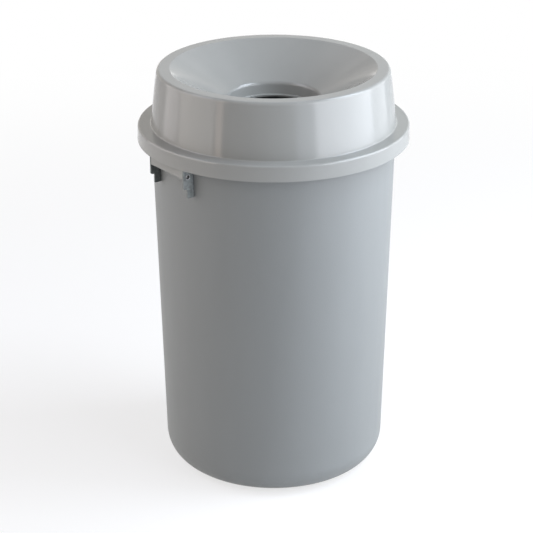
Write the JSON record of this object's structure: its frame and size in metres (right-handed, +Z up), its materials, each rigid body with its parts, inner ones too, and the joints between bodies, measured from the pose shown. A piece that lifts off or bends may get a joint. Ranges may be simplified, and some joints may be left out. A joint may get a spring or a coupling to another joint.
{
  "type": "waste bin",
  "caption": "Round tapered plastic waste bin with a rolled rim and a hinged lid whose wide funnel leads to a round throat.",
  "frame": {"origin": "middle of the base, on the floor", "axes": "+Z up along the bin's axis; the hinge is at the back, at +Y; the front is at -Y"},
  "size_m": [0.44, 0.44, 0.6818],
  "materials": {
    "body_plastic": "satin",
    "lid_plastic": "semi-gloss",
    "zinc_steel": "galvanised",
    "bright_steel": "zinc plated"
  },
  "bodies": {
    "bin": {"bin_body": "body_plastic", "hinge_ear_left": "zinc_steel", "hinge_ear_right": "zinc_steel", "hinge_pin_left": "bright_steel", "hinge_pin_right": "bright_steel", "ear_rivet_left_upper": "bright_steel", "ear_rivet_left_lower": "bright_steel", "ear_rivet_right_upper": "bright_steel", "ear_rivet_right_lower": "bright_steel", "rivet_washer_left_upper": "bright_steel", "rivet_washer_left_lower": "bright_steel", "rivet_washer_right_upper": "bright_steel", "rivet_washer_right_lower": "bright_steel"},
    "lid": {"lid": "lid_plastic"}
  },
  "joints": [
    {"name": "lid_hinge", "type": "hinge", "parent": "bin", "child": "lid", "pos_m": [0, 0.203, 0.5534], "axis": [-1, 0, 0], "range_deg": [0, 95]}
  ]
}
